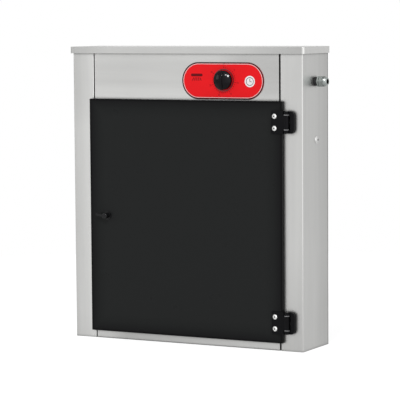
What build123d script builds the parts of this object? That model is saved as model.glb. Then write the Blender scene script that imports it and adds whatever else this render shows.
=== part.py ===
from build123d import *
import os
from math import pi, radians, tan

os.makedirs("parts", exist_ok=True)

# Wall cabinet that sterilizes knives with an ultraviolet lamp. Millimetres.
# X points right, Y to the back and Z up. The origin is the middle of the underside.

# Steel body
cabinet_width = 520.0
cabinet_depth = 120.0
cabinet_height = 600.0
sheet = 1.2                   # stainless steel sheet
fold_radius = 2.0             # outer radius of a fold
sheet_gap = 0.1               # between sheets that slide past each other
stile_width = 48.4            # front face that each side panel turns round to
stile_return = 10.0           # fold of the stile back into the cabinet
rear_flange = 20.0            # fold of the side panel behind the back panel
seam_gap = 2.6                # dark seam beside the fascia and the sill
sill_height = 25.0
fascia_height = 115.3         # from the door opening up to the lid
opening_return = 12.0         # fold round the top and bottom of the opening
upstand = 20.0                # flanges of the floor and the ceiling

# Lid, a folded cap over the body
lid_overhang = 5.0
lid_lip = 13.5
lid_corner_radius = 5.5
lid_hem_gap = 0.3
lid_screw_drop = 10.0         # below the lid
lid_screw_pitch = 200.0

# Rivets and wall holes of the back panel
rivet_hole = 3.2
rivet_head = 6.0
rivet_tail = 5.0
rivet_tail_height = 1.6
rivet_count = 5
rivet_end_margin = 40.0
wall_hole = 6.5
wall_pitch_x = 360.0
wall_pitch_z = 320.0
wall_hole_low = 80.0

# Door of smoked acrylic
door_thickness = 5.0
door_stand_off = 3.0          # room for the seal between the door and the stiles
door_lap_left = 5.7           # how far the door covers the edges of the opening
door_lap_right = 7.3
door_lap_top = 10.5
door_lap_bottom = 9.0
door_corner_radius = 1.2
seal_inset = 0.9              # from the door's edge
seal_reveal = 1.0             # from the opening's edge
seal_gap = 0.2                # between the seal and the steel

# Hinges, two alike on the right
hinge_height = 44.0
hinge_from_door_end = 41.0
hinge_pin_offset = 9.6        # pin axis beyond the door's edge
hinge_barrel = 10.5
hinge_pin = 4.0
running_clearance = 0.05      # radial, of everything that turns or slides
door_knuckle = 28.0
hinge_washer = 0.9
washer_play = 0.1
hinge_leaf_thickness = 4.0
hinge_leaf_width = 26.6
hinge_leaf_play = 0.4         # between the door leaf and the barrel
hinge_pad_gap = 2.2           # between the pad and the barrel
hinge_pad_width = 8.8
hinge_pad_corner = 8.0
hinge_pad_thickness = 8.0
hinge_edge_radius = 1.0
hinge_screw_pitch = 23.7
hinge_screw_inset = 14.8      # from the door's edge
pad_screw_inset = 4.2         # from the pad's inner edge
pad_screw_pitch = 24.0
pad_screw_depth = 6.0

# Screw sizes
m6 = 6.0
m6_head = 16.0                # wide domed head
m6_head_height = 3.3
m6_head_radius = 12.0
m6_socket = 4.0
m6_nut = 10.0
m6_nut_height = 5.0
m5 = 5.0
m5_head = 10.0
m5_head_height = 2.4
m5_socket = 3.0
m5_nut = 8.0
m5_nut_height = 4.0
m4 = 4.0
m4_head = 7.6
m4_head_height = 2.4
m4_socket = 2.5
screw_hole_clearance = 0.15   # radial
socket_share = 0.6            # depth of a socket as a share of its head

# Quarter-turn latch in the door
latch_inset = 39.3            # from the door's left edge, at half its height
latch_bush = 15.0
latch_bush_flange = 18.0
latch_flange_thickness = 1.5
latch_spindle = 8.0
latch_square = 6.0
latch_play = 0.2
latch_nut = 20.0
latch_nut_height = 4.0
latch_hub = 11.6
latch_hub_height = 12.0
latch_lever_length = 21.0
latch_lever_thickness = 4.6
latch_lever_height = 5.5
latch_lever_rise = 8.0        # degrees above level
latch_cam_length = 41.0
latch_cam_width = 14.0
latch_cam_thickness = 2.0
latch_cam_gap = 0.4           # behind the stile's folded edge

# Control label, timer and its knob
label_inset = 32.35           # from the fascia's right edge
label_drop = 66.1             # label's centre below the lid
label_length = 182.0
label_height = 73.5
label_thickness = 0.8
timer_shift = 2.1             # timer's axis to the right of the label's centre
timer_rise = 1.5              # and above it
dial_ring = 45.0
dial_ring_bore = 41.5
dial_ring_thickness = 0.8
knob_diameter = 38.5
knob_height = 16.0
knob_gap = 0.5
knob_dome_radius = 30.0
knob_edge_radius = 1.5
knob_ridge_width = 7.0
knob_ridge_length = 32.0
knob_ridge_height = 2.6
knob_recess = 20.0
knob_recess_depth = 5.5
knob_cover = 4.0              # solid front of the knob over the shaft
timer_shaft = 6.0
timer_shaft_depth = 18.0      # how far the shaft enters the timer
timer_bush = 10.0
timer_bush_stick_out = 7.0    # beyond the fascia
timer_nut = 14.0
timer_nut_height = 2.6
timer_size = 50.0
timer_depth = 38.0
timer_corner_radius = 6.0
timer_tab_width = 6.3
timer_tab_thickness = 0.8
timer_tab_length = 8.0

# Knife rack: a comb on two brackets
rack_drop = 164.7             # below the ceiling
rack_sheet = 1.5
rack_front = -42.0
rack_end_gap = 4.0            # from the side panels
knife_slots = 8
slot_pitch = 48.0
slot_width = 7.0
slot_depth = 60.0
rack_lip = 14.0               # folded down along the back
bracket_front = -30.0
bracket_foot = 22.0
bracket_rise = 15.0           # above the screw
rack_screw_y = 4.5
rack_screw_rise = 96.0        # above the rack

# Ultraviolet lamp, its holders and reflector
lamp_diameter = 26.0
lamp_end_room = 41.3          # from each end of the lamp to the cabinet's side
lamp_wall = 0.9
lamp_drop = 29.7              # below the ceiling
lamp_y = 30.0
lamp_cap = 27.0
lamp_cap_length = 9.0
lamp_pin = 2.4
lamp_pin_length = 7.0
lamp_pin_pitch = 12.7
lamp_pin_gap = 0.15
holder_thickness = 18.0
holder_gap = 0.3
holder_radius = 15.0
reflector_sheet = 0.8
reflector_end_gap = 10.7      # short of the lamp's end
reflector_stand_off = 9.0     # behind the lamp
reflector_height = 50.0
reflector_lean = 8.0          # how far its lower edge leans forward

# Control gear over the ceiling
ballast_inset = 155.0         # ballast's middle from the left side
ballast_y = 20.0
ballast_length = 150.0
ballast_width = 41.0
ballast_height = 28.0
ballast_foot = 12.0
ballast_foot_thickness = 1.5
starter_gap = 26.0            # from the ballast
starter_y = 30.0
starter_diameter = 21.5
starter_height = 36.0
starter_base_width = 28.0
starter_base_height = 12.0
terminal_gap = 4.5            # from the grommet beside it
terminal_y = 28.0
terminal_ways = 5
terminal_pitch = 11.0
terminal_width = 18.0
terminal_height = 16.0
terminal_hole = 4.0

# Door interlock: a plunger that works a microswitch
interlock_inset = 61.6        # from the left edge of the opening
interlock_drop = 16.7         # below the ceiling
interlock_travel = 3.0
plunger_diameter = 6.0
plunger_gap = 0.2             # in front of the plunger, to the closed door
interlock_bush = 12.0
interlock_bush_length = 6.0
switch_plate_gap = 0.3        # from the fold of the fascia
switch_plate_width = 30.0
switch_plate_foot = 24.0
switch_width = 10.3
switch_depth = 15.9
switch_height = 27.8
switch_button = 3.0

# Cable gland in the right side
gland_y = 0.0
gland_drop = 67.5             # below the lid
gland_thread = 16.0
gland_hex = 20.0
gland_collar = 17.5           # rubber ring between the wall and the hexagon
gland_collar_length = 6.5
gland_hex_thickness = 3.5
gland_thread_out = 5.0        # thread beyond the hexagon
gland_thread_in = 12.0        # thread inside the wall
gland_hole_clearance = 0.2    # radial
gland_nut_start = 0.8         # gap between hexagon and dome nut
gland_nut_hex_length = 8.0
gland_nut_length = 15.5
gland_nut_mouth = 10.0
gland_nose = 14.0
gland_seal = 12.4
gland_seal_length = 13.0
gland_seal_inset = 9.0        # seal's inner end from the wall
cable_bore = 9.0
locknut_hex = 21.0
locknut_thickness = 4.0

# Wires inside, which pass the ceiling in rubber grommets
wire = 2.6
wire_spacing = 3.0            # between the two wires in a grommet
wire_arc_share = 0.45         # of the shorter run beside an arc
wire_height = 6.0             # above the ceiling, where wires meet the control gear
grommet_bore = 6.4
grommet_neck = 9.0
grommet_flange = 12.0
grommet_flange_thickness = 1.2
switch_grommet_y = -15.0
earth_screw_y = -30.0
earth_lug = 9.0
earth_lug_thickness = 0.8

# Places worked out from the sizes above
side = cabinet_width / 2
front = -cabinet_depth / 2
back = cabinet_depth / 2
back_inside = back - sheet
body_top = cabinet_height - sheet
opening_half = side - stile_width
fascia_half = opening_half - seam_gap
fascia_bottom = body_top - fascia_height
ceiling_z = fascia_bottom + sheet
ceiling_top = ceiling_z + sheet
door_back = front - door_stand_off
door_front = door_back - door_thickness
door_left = -opening_half - door_lap_left
door_right = opening_half + door_lap_right
door_bottom = sill_height - door_lap_bottom
door_top = fascia_bottom + door_lap_top
pin_x = door_right + hinge_pin_offset
pin_y = door_front
hinge_centres = [door_bottom + hinge_from_door_end, door_top - hinge_from_door_end]
latch_x = door_left + latch_inset
latch_z = (door_bottom + door_top) / 2
label_x = fascia_half - label_inset - label_length / 2
label_z = body_top - label_drop
timer_x = label_x + timer_shift
timer_z = label_z + timer_rise
gland_z = body_top - gland_drop
rack_z = ceiling_z - rack_drop
rack_screw_z = rack_z + rack_screw_rise
lamp_z = ceiling_z - lamp_drop
lamp_length = cabinet_width - 2 * lamp_end_room
reflector_half_length = lamp_length / 2 - reflector_end_gap
ballast_x = -side + ballast_inset
starter_x = ballast_x + (ballast_length + starter_base_width) / 2 + starter_gap
holder_x = lamp_length / 2 + holder_gap + holder_thickness / 2
terminal_length = terminal_ways * terminal_pitch
terminal_x = holder_x - grommet_flange / 2 - terminal_gap - terminal_length / 2
interlock_x = -opening_half + interlock_inset
interlock_z = ceiling_z - interlock_drop


def block(x0, x1, y0, y1, z0, z1):
    """Box between two corners."""
    centre = Pos((x0 + x1) / 2, (y0 + y1) / 2, (z0 + z1) / 2)
    return centre * Box(x1 - x0, y1 - y0, z1 - z0)


def facing_front(x, y, z):
    """Frame on a front face: local X right, local Y up, local Z towards the viewer."""
    return Plane(origin=(x, y, z), x_dir=(1, 0, 0), z_dir=(0, -1, 0)).location


def facing_back(x, y, z):
    """Frame on a rear face: local Y up, local Z away from the cabinet."""
    return Plane(origin=(x, y, z), x_dir=(-1, 0, 0), z_dir=(0, 1, 0)).location


def facing_right(x, y, z):
    """Frame on the right side: local Y up, local Z away from the cabinet."""
    return Plane(origin=(x, y, z), x_dir=(0, 1, 0), z_dir=(1, 0, 0)).location


def facing_left(x, y, z):
    """Frame on the left side: local Y up, local Z away from the cabinet."""
    return Plane(origin=(x, y, z), x_dir=(0, -1, 0), z_dir=(-1, 0, 0)).location


def rod(diameter, z0, z1):
    """Cylinder on the local Z axis between two heights."""
    return Pos(0, 0, (z0 + z1) / 2) * Cylinder(diameter / 2, z1 - z0)


def hexagon(across_flats, z0, z1):
    """Hexagonal prism on the local Z axis."""
    outline = RegularPolygon(across_flats / 2, 6, major_radius=False)
    return Pos(0, 0, z0) * extrude(outline, z1 - z0)


def domed(diameter, height, radius):
    """Cylinder on local Z zero whose top is part of a ball."""
    return rod(diameter, 0, height) & Pos(0, 0, height - radius) * Sphere(radius)


def turned(points):
    """Solid turned about the local Z axis from (radius, height) points."""
    outline = make_face(Plane.XZ * Polyline(points, close=True))
    return revolve(outline, Axis.Z)


def folded(points, length):
    """Sheet folded along points, which lie on its outer face, extruded along local Z."""
    path = FilletPolyline(points, radius=fold_radius)
    return extrude(make_face(offset(path, amount=sheet, side=Side.LEFT, closed=True)), length)


def screw(diameter, head, head_height, socket, length):
    """Button-head screw: its shank goes down from the local origin, its head stands up."""
    crown = head_height * 0.6
    body = rod(diameter, -length, 0) + rod(head, 0, head_height)
    body = chamfer(body.faces().sort_by(Axis.Z)[-1].edges(), crown, crown * 1.2)
    return body - hexagon(socket, head_height * (1 - socket_share), head_height)


def nut(across_flats, height, bore):
    """Hexagon nut that stands on the local origin."""
    return hexagon(across_flats, 0, height) - rod(bore, 0, height)


def mirrored(piece):
    """The same piece on the other side of the cabinet."""
    return mirror(piece, about=Plane.YZ)


def save(name, *pieces):
    """Write one sub-part: a single piece or a group of separate ones."""
    shape = pieces[0] if len(pieces) == 1 else Compound(children=list(pieces))
    export_step(shape, f"parts/{name}.step")


def domed_screw(length):
    """M6 screw with a wide domed head on local Z zero."""
    head = domed(m6_head, m6_head_height, m6_head_radius)
    socket = hexagon(m6_socket, m6_head_height * (1 - socket_share), m6_head_height)
    return rod(m6, -length, 0) + head - socket


def m5_screw(length):
    return screw(m5, m5_head, m5_head_height, m5_socket, length)


def m4_screw(length):
    return screw(m4, m4_head, m4_head_height, m4_socket, length)


def side_panel():
    """Right side panel with the stile in front and the flange behind."""
    profile = [
        (opening_half, front + stile_return),
        (opening_half, front),
        (side, front),
        (side, back_inside),
        (side - rear_flange, back_inside),
    ]
    panel = folded(profile, body_top)
    screw_hole = rod(m6 + 2 * screw_hole_clearance, -sheet, sheet)
    panel -= facing_right(side, rack_screw_y, rack_screw_z) * screw_hole
    for z in rivet_heights():
        place = facing_back(side - rear_flange / 2, back_inside, z)
        panel -= place * rod(rivet_hole, -sheet, sheet)
    return panel


def rivet_heights():
    """Heights of the rivets that hold the back panel."""
    span = body_top - 2 * rivet_end_margin
    return [rivet_end_margin + span * n / (rivet_count - 1) for n in range(rivet_count)]


def pad_screw_places():
    """Holes in the right stile for the screws of both hinge pads."""
    x = pin_x + hinge_barrel / 2 + hinge_pad_gap + pad_screw_inset
    heights = [c + s * pad_screw_pitch / 2 for c in hinge_centres for s in (-1, 1)]
    return [(x, z) for z in heights]


def make_side_panels():
    left = mirrored(side_panel())
    right = side_panel()
    gland_hole = rod(gland_thread + 2 * gland_hole_clearance, -2 * sheet, sheet)
    right -= facing_right(side, gland_y, gland_z) * gland_hole
    for x, z in pad_screw_places():
        hole = rod(m5 + 2 * screw_hole_clearance, -2 * sheet, sheet)
        right -= facing_front(x, front, z) * hole
    save("left_side_panel", left)
    save("right_side_panel", right)


def wall_holes():
    """Places of the four screws that hang the cabinet on a wall."""
    heights = (wall_hole_low, wall_hole_low + wall_pitch_z)
    return [(s * wall_pitch_x / 2, z) for s in (-1, 1) for z in heights]


def lid_screw_places():
    return [(s * lid_screw_pitch / 2, body_top - lid_screw_drop) for s in (-1, 0, 1)]


def countersink(hole, head, depth):
    """Tool for a countersunk hole through the local origin's face."""
    cone = turned([(0, 0), (head / 2, 0), (hole / 2, -depth), (0, -depth)])
    return cone + rod(hole, -2 * sheet, 0)


def make_back_panel():
    panel = block(-side, side, back_inside, back, 0, body_top)
    for x, z in wall_holes():
        panel -= facing_back(x, back, z) * rod(wall_hole, -2 * sheet, sheet)
    for x, z in lid_screw_places():
        hole = countersink(m4 + 2 * screw_hole_clearance, m4_head, sheet)
        panel -= facing_back(x, back, z) * hole
    rivets = []
    rivet_x = side - rear_flange / 2
    for x in (-rivet_x, rivet_x):
        for z in rivet_heights():
            place = facing_back(x, back, z)
            panel -= place * countersink(rivet_hole, rivet_head, sheet)
            rivets.append(place * flush_rivet())
    save("back_panel", panel)
    save("back_rivets", *rivets)


def flush_rivet():
    """Countersunk rivet through two sheets, with its formed tail inside."""
    grip = 2 * sheet
    outline = [
        (0, 0),
        (rivet_head / 2, 0),
        (rivet_hole / 2, -sheet),
        (rivet_hole / 2, -grip),
        (rivet_tail / 2, -grip),
        (rivet_tail / 2, -grip - rivet_tail_height),
        (0, -grip - rivet_tail_height),
    ]
    return turned(outline)


def shelf(front_points, height):
    """Floor or ceiling: a sheet between the stiles, with wings behind them and upstands."""
    profile = front_points + [(back_inside, height), (back_inside, height + upstand)]
    middle = Plane.YZ.offset(-fascia_half) * folded(profile, 2 * fascia_half)
    wing_front = front + stile_return + seam_gap / 2
    wing_back = back_inside - fold_radius - sheet_gap
    edge = side - sheet - sheet_gap
    wing = [(fascia_half - sheet, height), (edge, height), (edge, height + upstand)]
    raised = Plane(origin=(0, wing_back, 0), x_dir=(1, 0, 0), z_dir=(0, -1, 0))
    right_wing = raised * folded(wing, wing_back - wing_front)
    return middle + right_wing + mirrored(right_wing)


def make_floor_and_ceiling():
    sill = [(front + opening_return, sill_height), (front, sill_height), (front, 0)]
    save("bottom_panel", shelf(sill, 0))
    edge = front + fold_radius + sheet_gap
    ceiling = shelf([(edge, ceiling_z)], ceiling_z)
    for x, y in grommet_places():
        ceiling -= Pos(x, y, 0) * rod(grommet_neck, ceiling_z, ceiling_top)
    for x, y in ceiling_screw_places():
        ceiling -= Pos(x, y, 0) * rod(m4, ceiling_z, ceiling_top)
    save("chamber_ceiling", ceiling)


def make_fascia():
    profile = [
        (front + opening_return, fascia_bottom),
        (front, fascia_bottom),
        (front, body_top),
        (front + opening_return, body_top),
    ]
    fascia = Plane.YZ.offset(-fascia_half) * mirror_fold(profile, 2 * fascia_half)
    hole = rod(timer_bush + 2 * screw_hole_clearance, -2 * sheet, sheet)
    fascia -= facing_front(timer_x, front, timer_z) * hole
    save("control_fascia", fascia)


def mirror_fold(points, length):
    """Sheet folded the other way round, with its points on the outer face."""
    return folded(list(reversed(points)), length)


def make_lid():
    reach = side + lid_overhang
    lip_z = cabinet_height - lid_lip
    lid = block(-reach, reach, front - lid_overhang, back, lip_z, cabinet_height)
    lid = fillet(lid.edges().filter_by(Axis.Z), lid_corner_radius)
    lid = fillet(lid.faces().sort_by(Axis.Z)[-1].edges(), sheet * 0.8)
    inner = reach - sheet
    hem_z = lip_z + sheet
    room = block(-inner, inner, front - lid_overhang + sheet, back - sheet, hem_z, body_top)
    lid -= fillet(room.edges().filter_by(Axis.Z), lid_corner_radius - sheet)
    mouth = side + lid_hem_gap
    lid -= block(-mouth, mouth, front - lid_hem_gap, back, lip_z, hem_z)
    lid -= block(-mouth, mouth, back - sheet, back, hem_z, body_top)
    flange_half = side - rear_flange - seam_gap
    flange_z = body_top - 2 * lid_screw_drop
    flange = block(-flange_half, flange_half, back_inside - sheet, back_inside, flange_z, body_top)
    for x, z in lid_screw_places():
        flange -= facing_back(x, back_inside, z) * rod(m4, -2 * sheet, sheet)
    save("top_lid", lid + flange)
    save("lid_screws", *[facing_back(x, back, z) * flush_screw() for x, z in lid_screw_places()])


def flush_screw():
    """Countersunk M4 screw with its head flush in the sheet."""
    outline = [
        (0, 0),
        (m4_head / 2, 0),
        (m4 / 2, -sheet),
        (m4 / 2, -8 * sheet),
        (0, -9 * sheet),
    ]
    return turned(outline) - hexagon(m4_socket, -sheet, 0)


def make_door():
    panel = block(door_left, door_right, door_front, door_back, door_bottom, door_top)
    panel = fillet(panel.edges().filter_by(Axis.Y), door_corner_radius)
    for x, z in hinge_screw_places():
        hole = rod(m5 + 2 * screw_hole_clearance, -door_thickness, 0)
        panel -= facing_front(x, door_front, z) * hole
    panel -= facing_front(latch_x, door_front, latch_z) * rod(latch_bush, -door_thickness, 0)
    save("door_panel", panel)

    seal_face = front - seal_gap
    outer = block(
        door_left + seal_inset, door_right - seal_inset, door_back, seal_face,
        door_bottom + seal_inset, door_top - seal_inset,
    )
    inner = block(
        -opening_half - seal_reveal, opening_half + seal_reveal, door_back, seal_face,
        sill_height - seal_reveal, fascia_bottom + seal_reveal,
    )
    save("door_seal", outer - inner)


def hinge_screw_places():
    x = door_right - hinge_screw_inset
    heights = [c + s * hinge_screw_pitch / 2 for c in hinge_centres for s in (-1, 1)]
    return [(x, z) for z in heights]


def door_leaf(centre):
    """Moving leaf of a hinge: a plate on the door and the middle knuckle."""
    face = door_front - hinge_leaf_thickness
    half = hinge_height / 2
    edge = pin_x - hinge_barrel / 2 - hinge_leaf_play
    plate = block(edge - hinge_leaf_width, edge, face, door_front, centre - half, centre + half)
    rim = plate.faces().sort_by(Axis.Y)[0].edges()
    plate = fillet(rim, hinge_edge_radius)
    low = centre - door_knuckle / 2
    high = centre + door_knuckle / 2
    knuckle = Pos(pin_x, pin_y, 0) * rod(hinge_barrel, low, high)
    web = block(edge - hinge_leaf_play, pin_x, face, door_front, low, high)
    leaf = plate + web + knuckle
    leaf -= Pos(pin_x, pin_y, 0) * rod(hinge_pin + 2 * running_clearance, low, high)
    for x, z in hinge_screw_places():
        if abs(z - centre) < half:
            hole = rod(m5 + 2 * screw_hole_clearance, 0, hinge_leaf_thickness)
            leaf -= facing_front(x, door_front, z) * hole
    return leaf


def frame_leaf(centre):
    """Fixed leaf of a hinge: a rounded pad on the stile and the two outer knuckles."""
    half = hinge_height / 2
    inner = pin_x + hinge_barrel / 2 + hinge_pad_gap
    outer = inner + hinge_pad_width
    pad_face = front - hinge_pad_thickness
    pad = block(inner, outer, pad_face, front, centre - half, centre + half)
    pad = fillet(pad.edges().filter_by(Axis.Y).sort_by(Axis.X)[-2:], hinge_pad_corner)
    pad = fillet(pad.faces().sort_by(Axis.Y)[0].edges(), hinge_edge_radius)
    reach = door_knuckle / 2 + hinge_washer + washer_play
    for low, high in ((centre - half, centre - reach), (centre + reach, centre + half)):
        knuckle = Pos(pin_x, pin_y, 0) * rod(hinge_barrel, low, high)
        web = block(pin_x, inner + hinge_edge_radius, pad_face + hinge_edge_radius,
                    front - seal_gap, low, high)
        pad += knuckle + web
    pad -= Pos(pin_x, pin_y, 0) * rod(hinge_pin, centre - half, centre + half)
    for x, z in pad_screw_places():
        if abs(z - centre) < half:
            pad -= facing_front(x, front, z) * rod(m5, 0, pad_screw_depth)
    return pad


def make_hinges():
    names = ("lower", "upper")
    pins = []
    washers = []
    for name, centre in zip(names, hinge_centres):
        save(f"hinge_door_leaf_{name}", door_leaf(centre))
        save(f"hinge_frame_leaf_{name}", frame_leaf(centre))
        axis = Pos(pin_x, pin_y, centre)
        pins.append(axis * rod(hinge_pin, -hinge_height / 2, hinge_height / 2))
        start = door_knuckle / 2 + washer_play
        bore = hinge_pin + 2 * running_clearance
        ring = rod(hinge_barrel, start, start + hinge_washer)
        ring -= rod(bore, start, start + hinge_washer)
        washers += [axis * ring, axis * mirror(ring, about=Plane.XY)]
    save("hinge_pins", *pins)
    save("hinge_washers", *washers)

    stack = hinge_leaf_thickness + door_thickness + m5_nut_height
    face = door_front - hinge_leaf_thickness
    places = hinge_screw_places()
    save("hinge_door_screws", *[facing_front(x, face, z) * m5_screw(stack) for x, z in places])
    m5_plain_nut = nut(m5_nut, m5_nut_height, m5)
    save("hinge_door_nuts", *[facing_back(x, door_back, z) * m5_plain_nut for x, z in places])
    length = sheet + pad_screw_depth
    save("hinge_pad_screws", *[
        facing_back(x, front + sheet, z) * m5_screw(length) for x, z in pad_screw_places()
    ])


def make_latch():
    """Quarter-turn latch: bush and nut on the door, and lever, spindle and cam that turn."""
    axis = facing_front(latch_x, door_front, latch_z)
    cam_face = -(front + stile_return + latch_cam_gap - door_front)
    bush_end = cam_face + latch_play
    bush = rod(latch_bush_flange, 0, latch_flange_thickness)
    bush += rod(latch_bush, bush_end, 0)
    bush -= rod(latch_spindle + 2 * running_clearance, bush_end, latch_flange_thickness)
    save("latch_bush", axis * bush)
    locknut = nut(latch_nut, latch_nut_height, latch_bush)
    save("latch_bush_nut", facing_back(latch_x, door_back, latch_z) * locknut)

    hub_start = latch_flange_thickness + latch_play
    hub_end = hub_start + latch_hub_height
    hub = rod(latch_hub, hub_start, hub_end)
    hub = fillet(hub.faces().sort_by(Axis.Z)[-1].edges(), 1.5)
    bar_start = hub_end - latch_lever_height
    bar = block(-latch_lever_length, 0, -latch_lever_thickness / 2, latch_lever_thickness / 2,
                bar_start, hub_end - 1)
    tip = bar.edges().filter_by(Axis.Z).sort_by(Axis.X)[:2]
    bar = fillet(tip, latch_lever_thickness * 0.4)
    lever = hub + Rot(0, 0, -latch_lever_rise) * bar
    spindle_top = hub_end - 3
    lever -= rod(latch_spindle, hub_start, spindle_top)
    save("latch_lever", axis * lever)

    spindle = rod(latch_spindle, cam_face, spindle_top)
    square_end = cam_face - latch_cam_thickness
    half = latch_square / 2
    spindle += block(-half, half, -half, half, square_end, cam_face)
    spindle -= rod(m4, square_end, cam_face + 8)
    save("latch_spindle", axis * spindle)

    cam = Pos(0, -latch_cam_length / 2, 0) * Box(
        latch_cam_width, latch_cam_length, latch_cam_thickness,
        align=(Align.CENTER, Align.CENTER, Align.MIN))
    cam = fillet(cam.edges().filter_by(Axis.Z).sort_by(Axis.Y)[:2], latch_cam_width * 0.3)
    cam += rod(latch_cam_width, 0, latch_cam_thickness)
    cam -= block(-half, half, -half, half, 0, latch_cam_thickness)
    save("latch_cam", axis * Pos(0, 0, square_end) * cam)
    behind = facing_back(latch_x, door_front - square_end, latch_z)
    save("latch_cam_screw", behind * m4_screw(latch_cam_thickness + 6))


def make_label_and_timer():
    axis = facing_front(timer_x, front, timer_z)
    bush_hole = timer_bush + 2 * screw_hole_clearance
    film = extrude(SlotOverall(label_length, label_height), label_thickness)
    label = facing_front(label_x, front, label_z) * film
    save("control_label", label - axis * rod(bush_hole, 0, label_thickness))

    ring_front = label_thickness + dial_ring_thickness
    ring = rod(dial_ring, label_thickness, ring_front)
    save("timer_dial_ring", axis * (ring - rod(dial_ring_bore, label_thickness, ring_front)))
    on_label = Pos(0, 0, label_thickness)
    save("timer_nut", axis * on_label * nut(timer_nut, timer_nut_height, timer_bush))

    body = Box(timer_size, timer_size, timer_depth, align=(Align.CENTER, Align.CENTER, Align.MAX))
    body = fillet(body.edges().filter_by(Axis.Z), timer_corner_radius)
    body = Pos(0, 0, -sheet) * body + rod(timer_bush, -sheet, timer_bush_stick_out)
    shaft_bore = timer_shaft + 2 * running_clearance
    shaft_end = -sheet - timer_shaft_depth
    body -= rod(shaft_bore, shaft_end, timer_bush_stick_out)
    rear = -sheet - timer_depth
    for x in (-timer_size / 4, 0, timer_size / 4):
        body += Pos(x, 0, rear - timer_tab_length / 2) * Box(
            timer_tab_thickness, timer_tab_width, timer_tab_length)
    save("timer_body", axis * body)

    knob_back = ring_front + knob_gap
    knob_front = knob_back + knob_height
    save("timer_shaft", axis * rod(timer_shaft, shaft_end + knob_gap, knob_front - knob_cover))
    save("timer_knob", axis * Pos(0, 0, knob_back) * timer_knob(shaft_top=knob_height - knob_cover))


def timer_knob(shaft_top):
    """Round domed knob with a pointer ridge; it stands on local Z zero."""
    knob = domed(knob_diameter, knob_height - knob_ridge_height, knob_dome_radius)
    rims = knob.edges().filter_by(lambda edge: edge.is_closed and edge.length > knob_diameter)
    knob = fillet(rims.sort_by(Axis.Z)[-1], knob_edge_radius)
    ridge = Box(knob_ridge_width, knob_ridge_length, knob_height,
                align=(Align.CENTER, Align.CENTER, Align.MIN))
    ridge = fillet(ridge.edges().filter_by(Axis.Z), knob_ridge_width * 0.45)
    ridge &= domed(knob_diameter, knob_height, knob_dome_radius)
    ridge = fillet(ridge.faces().sort_by(Axis.Z)[-1].edges(), knob_ridge_height * 0.35)
    knob += ridge
    knob -= rod(knob_recess, 0, knob_recess_depth)
    return knob - rod(timer_shaft, 0, shaft_top)


def make_rack():
    """Comb that the knives hang in, its two brackets, and their screws and nuts."""
    reach = side - sheet - rack_end_gap
    top = rack_z + rack_sheet
    comb = block(-reach, reach, rack_front, back_inside, rack_z, top)
    for n in range(knife_slots):
        x = (n - (knife_slots - 1) / 2) * slot_pitch
        slot = block(x - slot_width / 2, x + slot_width / 2, rack_front, rack_front + slot_depth,
                     rack_z, top)
        comb -= fillet(slot.edges().filter_by(Axis.Z).sort_by(Axis.Y)[-2:], slot_width * 0.45)
    lip_half = side - rear_flange - seam_gap
    comb_back = block(lip_half, reach, back_inside - sheet - sheet_gap, back_inside, rack_z, top)
    comb -= comb_back + mirrored(comb_back)
    lip = block(-lip_half, lip_half, back_inside - rack_sheet, back_inside, rack_z - rack_lip, top)
    save("knife_rack", comb + lip)

    wall = side - sheet
    bracket_back = back_inside - fold_radius - sheet_gap
    web = block(wall - rack_sheet, wall, bracket_front, bracket_back,
                rack_z - rack_sheet, rack_screw_z + bracket_rise)
    web -= facing_right(wall, rack_screw_y, rack_screw_z) * rod(
        m6 + 2 * screw_hole_clearance, -rack_sheet, 0)
    foot = block(wall - bracket_foot, wall, bracket_front, bracket_back,
                 rack_z - rack_sheet, rack_z)
    bracket = web + foot
    save("rack_bracket_right", bracket)
    save("rack_bracket_left", mirrored(bracket))
    grip = sheet + rack_sheet + m6_nut_height
    right_screw = facing_right(side, rack_screw_y, rack_screw_z) * domed_screw(grip)
    save("rack_screws", right_screw, mirrored(right_screw))
    face = facing_left(wall - rack_sheet, rack_screw_y, rack_screw_z)
    right_nut = face * nut(m6_nut, m6_nut_height, m6)
    save("rack_nuts", right_nut, mirrored(right_nut))


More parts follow.
